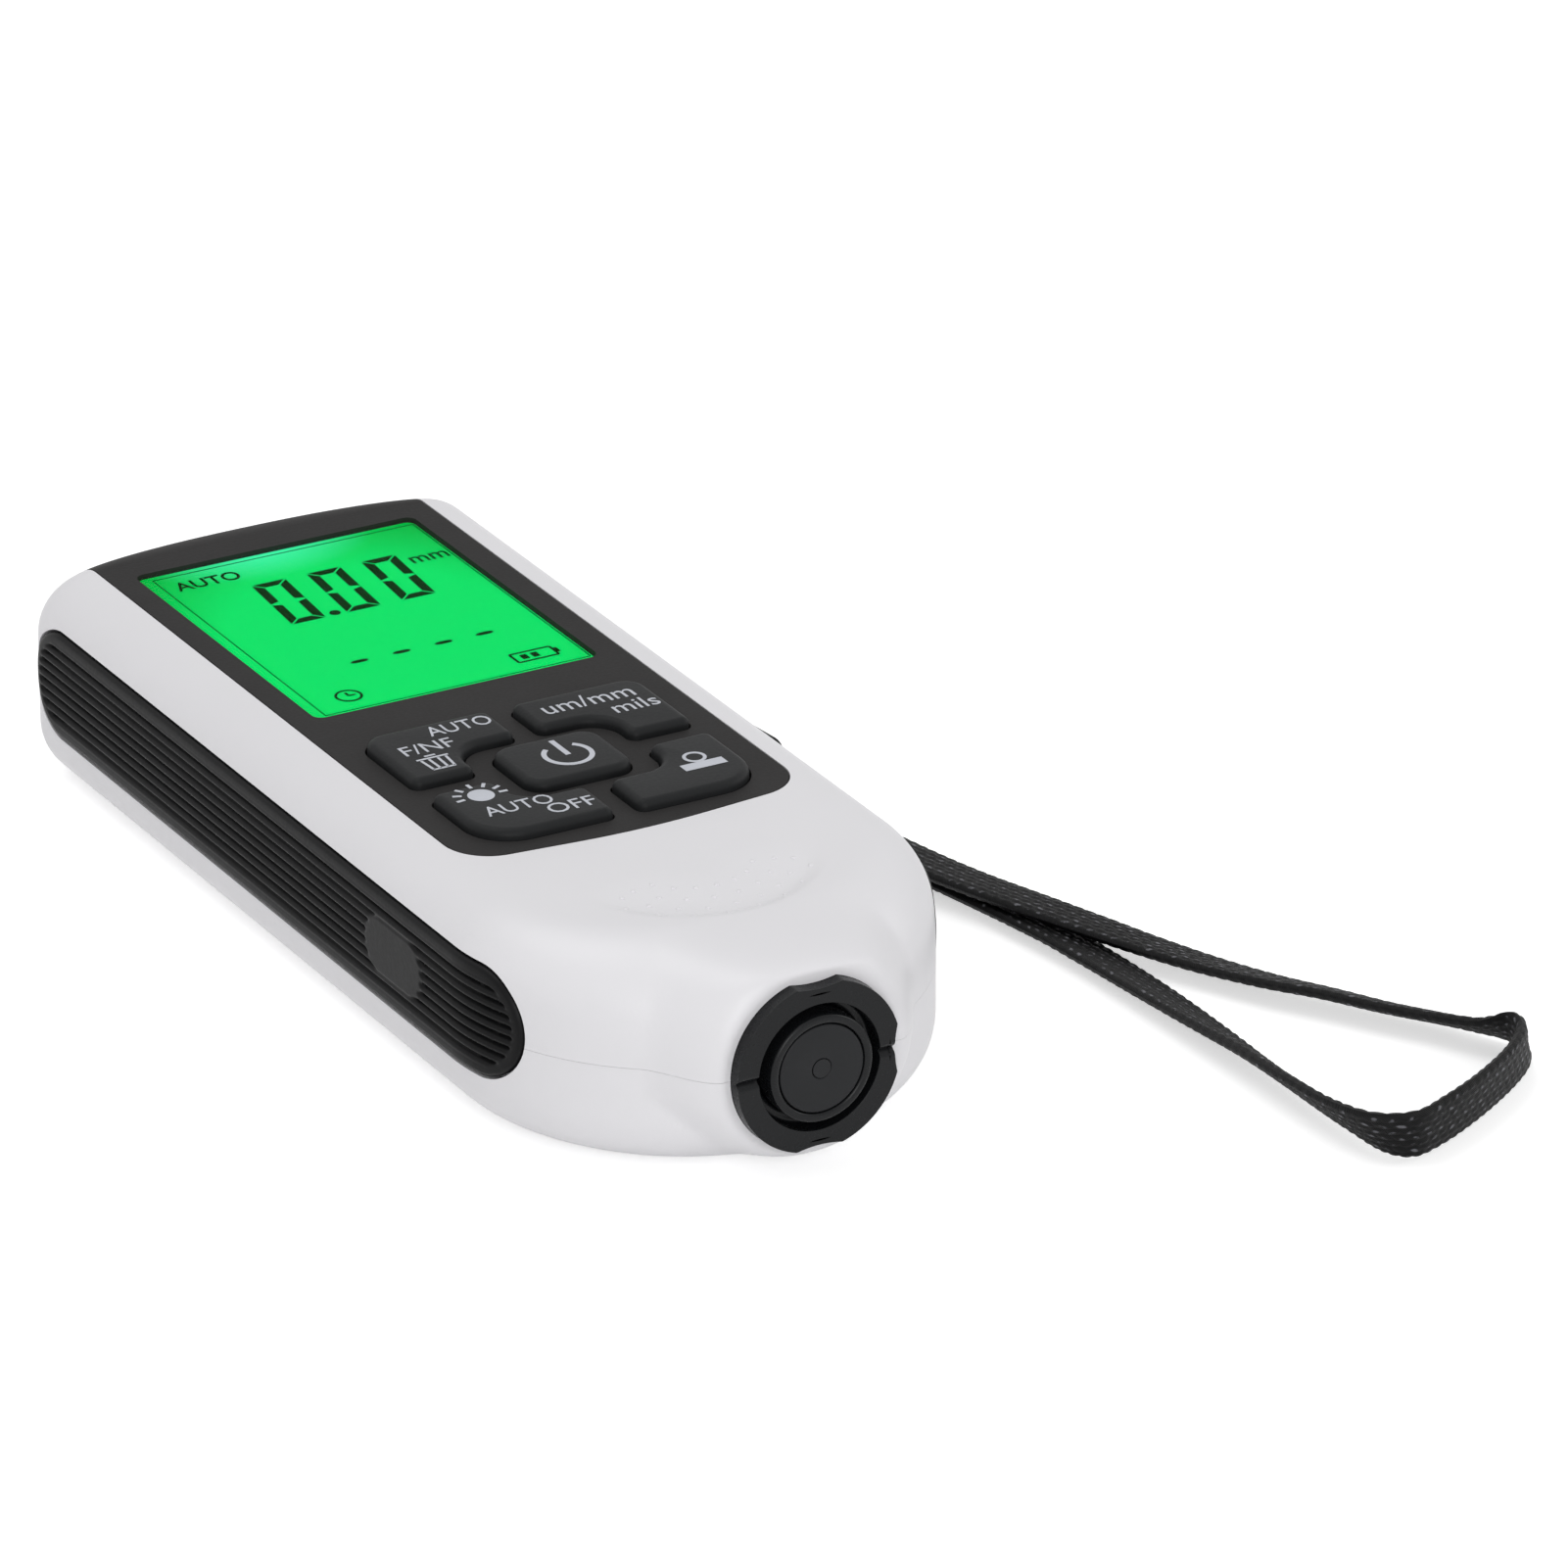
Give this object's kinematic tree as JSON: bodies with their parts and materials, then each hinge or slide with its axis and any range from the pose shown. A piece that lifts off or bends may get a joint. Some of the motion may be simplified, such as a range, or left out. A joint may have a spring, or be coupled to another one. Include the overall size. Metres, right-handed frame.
{
  "type": "coating thickness gauge",
  "caption": "Handheld coating thickness gauge with a lit display, rubber keys, ribbed side grips, a spring-loaded nose probe, a battery door and a wrist strap.",
  "frame": {"origin": "middle of the rectangle that the gauge covers without its strap, on the surface it lies on", "axes": "+X to the right of the face, +Y towards the display end, +Z out of the face"},
  "size_m": [0.0903, 0.1416, 0.0216],
  "materials": {
    "case_white": "satin moulded plastic",
    "panel_grey": "matt",
    "key_rubber": "matt",
    "grip_rubber": "matt",
    "probe_plastic": "semi-gloss",
    "clear_lens": "clear",
    "display_green": "lit from behind",
    "light_guide": "satin",
    "board_green": "satin",
    "black_plastic": "satin",
    "contact_gold": "plated",
    "coil_copper": "lacquered wire",
    "core_steel": "ground",
    "spring_steel": "plated",
    "cell_jacket": "printed jacket",
    "strap_braid": "braided tape"
  },
  "bodies": {
    "case": {"front_shell": "case_white", "rear_shell": "case_white", "face_panel": "panel_grey", "display_lens": "clear_lens", "lcd_glass": "display_green", "backlight": "light_guide", "circuit_board": "board_green", "controller_chip": "black_plastic", "buzzer": "black_plastic", "contact_pads": "contact_gold", "keypad_mat": "key_rubber", "side_grip_left": "grip_rubber", "side_grip_right": "grip_rubber", "probe_collar": "probe_plastic", "probe_spring": "spring_steel", "probe_guide": "black_plastic", "battery_left": "cell_jacket", "battery_right": "cell_jacket", "battery_contacts": "spring_steel", "battery_springs": "spring_steel", "case_screws": "spring_steel", "wrist_strap": "strap_braid", "strap_bead": "black_plastic"},
    "probe": {"probe_sleeve": "probe_plastic", "probe_tip": "probe_plastic", "probe_pole": "core_steel", "probe_coil": "coil_copper"},
    "battery_door": {"battery_door": "case_white"},
    "key_power": {"key_power": "key_rubber"},
    "key_mode": {"key_mode": "key_rubber"},
    "key_units": {"key_units": "key_rubber"},
    "key_light": {"key_light": "key_rubber"},
    "key_zero": {"key_zero": "key_rubber"}
  },
  "joints": [
    {"name": "key_power_press", "type": "slide", "parent": "case", "child": "key_power", "axis": [0, 0, -1], "range_m": [0, 0.0008], "stiffness_N_per_m": 600},
    {"name": "key_mode_press", "type": "slide", "parent": "case", "child": "key_mode", "axis": [0, 0, -1], "range_m": [0, 0.0008], "stiffness_N_per_m": 600},
    {"name": "key_units_press", "type": "slide", "parent": "case", "child": "key_units", "axis": [0, 0, -1], "range_m": [0, 0.0008], "stiffness_N_per_m": 600},
    {"name": "key_light_press", "type": "slide", "parent": "case", "child": "key_light", "axis": [0, 0, -1], "range_m": [0, 0.0008], "stiffness_N_per_m": 600},
    {"name": "key_zero_press", "type": "slide", "parent": "case", "child": "key_zero", "axis": [0, 0, -1], "range_m": [0, 0.0008], "stiffness_N_per_m": 600},
    {"name": "probe_press", "type": "slide", "parent": "case", "child": "probe", "axis": [0, 1, 0], "range_m": [0, 0.0009], "stiffness_N_per_m": 800, "deforming": ["probe_spring"]},
    {"name": "battery_door_open", "type": "hinge", "parent": "case", "child": "battery_door", "pos_m": [0, 0.04872, 0.0002], "axis": [1, 0, 0], "range_deg": [0, 75]}
  ]
}
